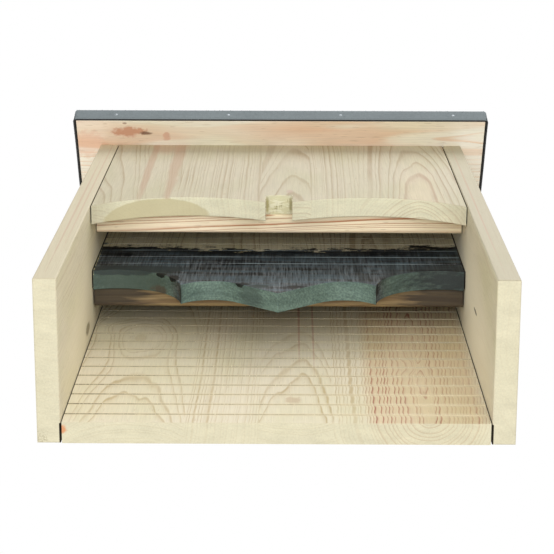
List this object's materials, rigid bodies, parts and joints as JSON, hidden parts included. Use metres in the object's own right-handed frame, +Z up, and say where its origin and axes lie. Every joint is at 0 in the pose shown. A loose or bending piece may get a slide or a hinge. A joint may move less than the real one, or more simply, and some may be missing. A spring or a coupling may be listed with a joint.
{
  "type": "bat roost box",
  "caption": "Wooden two-crevice bat roost box, open below, with a grooved back panel, bat-wing partition and sloping felted roof.",
  "frame": {"origin": "on the wall plane, in the middle of the width, at the lower ends of the back panel and the side panels", "axes": "+Z up towards the roof, +X across the box, -Y away from the wall towards the front; +Y is the outward normal of the rear face"},
  "size_m": [0.438, 0.1749, 0.6358],
  "materials": {
    "pale_pine": "sawn and planed, pale green treated",
    "pink_pine": "planed, untreated",
    "stained_pine": "black water stain, brushed",
    "part_stained_pine": "untreated, ends stained black",
    "mineral_felt": "bitumen felt with slate granules",
    "zinc_plate": "zinc plated",
    "zinc_screw": "yellow zinc plated",
    "bright_nail": "bright wire",
    "galvanised_tack": "galvanised"
  },
  "bodies": {
    "root": {"back_panel": "pale_pine", "side_panel_left": "pale_pine", "side_panel_right": "pale_pine", "front_panel": "pale_pine", "front_batten": "pink_pine", "partition": "stained_pine", "partition_batten": "part_stained_pine", "roof_board": "pale_pine", "roof_felt": "mineral_felt", "hanger_left": "zinc_plate", "hanger_right": "zinc_plate", "back_panel_screws_left": "zinc_screw", "back_panel_screws_right": "zinc_screw", "partition_screws_left": "zinc_screw", "partition_screws_right": "zinc_screw", "front_panel_screws_left": "zinc_screw", "front_panel_screws_right": "zinc_screw", "roof_screws": "zinc_screw", "hanger_screws_left": "zinc_screw", "hanger_screws_right": "zinc_screw", "front_batten_nails": "bright_nail", "partition_batten_nails": "bright_nail", "felt_tacks_front": "galvanised_tack", "felt_tacks_left": "galvanised_tack", "felt_tacks_right": "galvanised_tack"}
  },
  "joints": []
}
